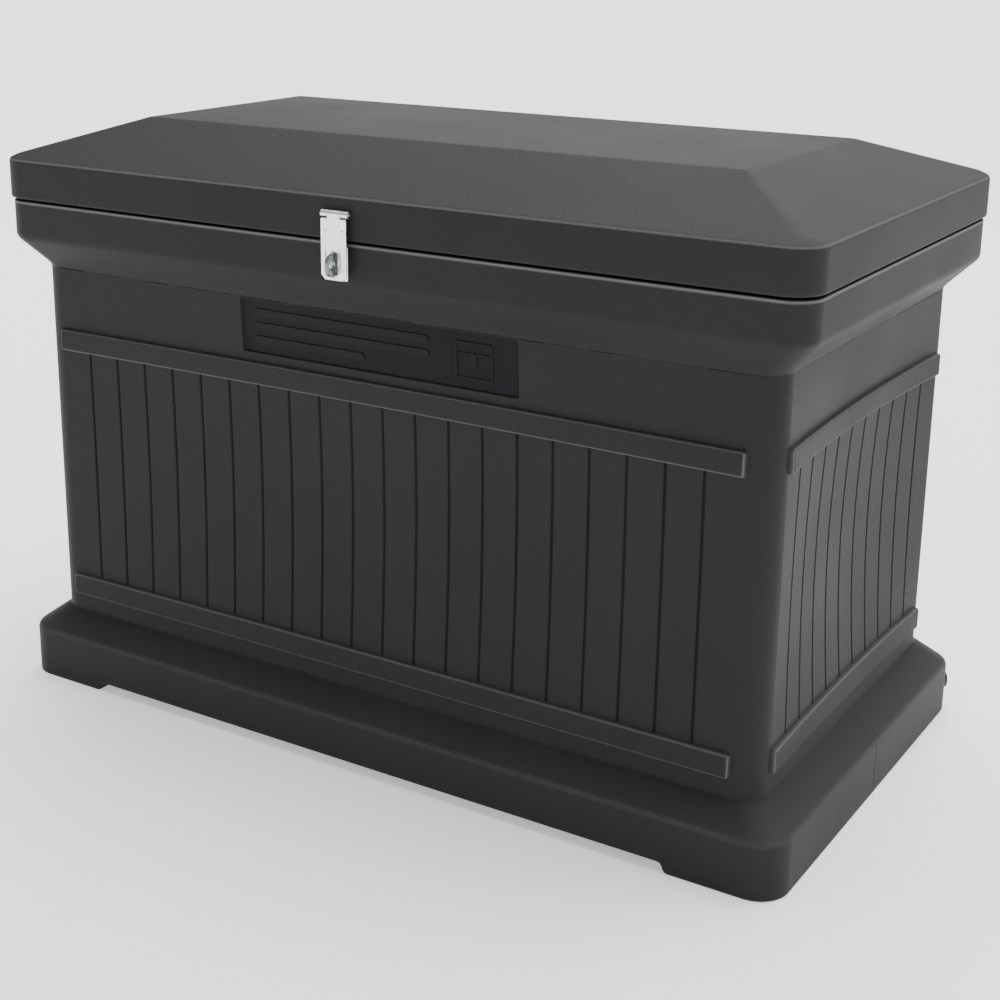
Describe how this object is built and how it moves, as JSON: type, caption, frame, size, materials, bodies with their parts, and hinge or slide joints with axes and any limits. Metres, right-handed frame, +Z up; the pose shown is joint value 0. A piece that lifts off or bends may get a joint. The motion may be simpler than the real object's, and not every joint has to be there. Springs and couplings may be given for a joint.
{
  "type": "parcel drop box",
  "caption": "Free-standing double-wall parcel chest with a hipped lid on rear hinges and gas struts, planked sides, plinth base and a steel padlock hasp.",
  "frame": {"origin": "centre of the footprint, on the floor", "axes": "+X along the long side to the right of the front, -Y out of the front with the hasp, +Z up"},
  "size_m": [1.102, 0.6338, 0.7565],
  "materials": {
    "polyethylene": "moulded-in dark graphite, fine sandy texture",
    "zinc_plate": "bright zinc plate on pressed steel",
    "black_steel": "black powder coat",
    "polished_steel": "ground and chromed rod",
    "black_plastic": "moulded nylon, satin"
  },
  "bodies": {
    "box": {"body_shell": "polyethylene", "drain_plug": "black_plastic", "hinge_body_leaf_left": "zinc_plate", "hinge_body_leaf_right": "zinc_plate", "hinge_body_screw_left_1": "zinc_plate", "hinge_body_screw_left_2": "zinc_plate", "hinge_body_screw_left_3": "zinc_plate", "hinge_body_screw_right_1": "zinc_plate", "hinge_body_screw_right_2": "zinc_plate", "hinge_body_screw_right_3": "zinc_plate", "hinge_pin_left": "zinc_plate", "hinge_pin_right": "zinc_plate", "staple_eye": "zinc_plate", "staple_plate": "zinc_plate", "staple_screw_1": "zinc_plate", "staple_screw_2": "zinc_plate", "staple_screw_3": "zinc_plate", "staple_screw_4": "zinc_plate", "strut_body_bracket_left": "zinc_plate", "strut_body_bracket_right": "zinc_plate", "strut_body_pin_left": "zinc_plate", "strut_body_pin_right": "zinc_plate", "strut_body_screw_left_1": "zinc_plate", "strut_body_screw_left_2": "zinc_plate", "strut_body_screw_right_1": "zinc_plate", "strut_body_screw_right_2": "zinc_plate"},
    "lid": {"hasp_leaf": "zinc_plate", "hasp_pin": "zinc_plate", "hasp_screw_1": "zinc_plate", "hasp_screw_2": "zinc_plate", "hinge_lid_leaf_left": "zinc_plate", "hinge_lid_leaf_right": "zinc_plate", "hinge_lid_screw_left_1": "zinc_plate", "hinge_lid_screw_left_2": "zinc_plate", "hinge_lid_screw_left_3": "zinc_plate", "hinge_lid_screw_right_1": "zinc_plate", "hinge_lid_screw_right_2": "zinc_plate", "hinge_lid_screw_right_3": "zinc_plate", "lid_shell": "polyethylene", "lid_vent_plug": "black_plastic", "strut_lid_bracket_left": "zinc_plate", "strut_lid_bracket_right": "zinc_plate", "strut_lid_screw_left_1": "zinc_plate", "strut_lid_screw_left_2": "zinc_plate", "strut_lid_screw_right_1": "zinc_plate", "strut_lid_screw_right_2": "zinc_plate"},
    "strap": {"hasp_strap": "zinc_plate"},
    "strut_tube_left": {"strut_tube_left": "black_steel", "strut_gland_left": "black_plastic"},
    "strut_rod_left": {"strut_rod_left": "polished_steel", "strut_rod_end_left": "black_plastic", "strut_piston_left": "black_plastic", "strut_lid_pin_left": "zinc_plate"},
    "strut_tube_right": {"strut_tube_right": "black_steel", "strut_gland_right": "black_plastic"},
    "strut_rod_right": {"strut_rod_right": "polished_steel", "strut_rod_end_right": "black_plastic", "strut_piston_right": "black_plastic", "strut_lid_pin_right": "zinc_plate"}
  },
  "joints": [
    {"name": "lid_hinge", "type": "hinge", "parent": "box", "child": "lid", "pos_m": [0, 0.3053, 0.65725], "axis": [-1, 0, 0], "range_deg": [0, 75]},
    {"name": "hasp_swing", "type": "hinge", "parent": "lid", "child": "strap", "pos_m": [-0.012, -0.3048, 0.689], "axis": [-1, 0, 0], "range_deg": [0, 165]},
    {"name": "strut_swing_left", "type": "hinge", "parent": "box", "child": "strut_tube_left", "pos_m": [-0.455, 0.1003, 0.40725], "axis": [-1, 0, 0], "range_deg": [0, 2.9]},
    {"name": "strut_stroke_left", "type": "slide", "parent": "strut_tube_left", "child": "strut_rod_left", "axis": [0, 0.3734, 0.9277], "range_m": [0, 0.13428]},
    {"name": "strut_swing_right", "type": "hinge", "parent": "box", "child": "strut_tube_right", "pos_m": [0.455, 0.1003, 0.40725], "axis": [-1, 0, 0], "range_deg": [0, 2.9]},
    {"name": "strut_stroke_right", "type": "slide", "parent": "strut_tube_right", "child": "strut_rod_right", "axis": [0, 0.3734, 0.9277], "range_m": [0, 0.13428]}
  ],
  "couplings": [
    {"joint": "strut_swing_left", "follows": "lid_hinge", "ratio": 0.038433},
    {"joint": "strut_stroke_left", "follows": "lid_hinge", "m_per_rad": 0.10243},
    {"joint": "strut_swing_right", "follows": "lid_hinge", "ratio": 0.038433},
    {"joint": "strut_stroke_right", "follows": "lid_hinge", "m_per_rad": 0.10243}
  ]
}
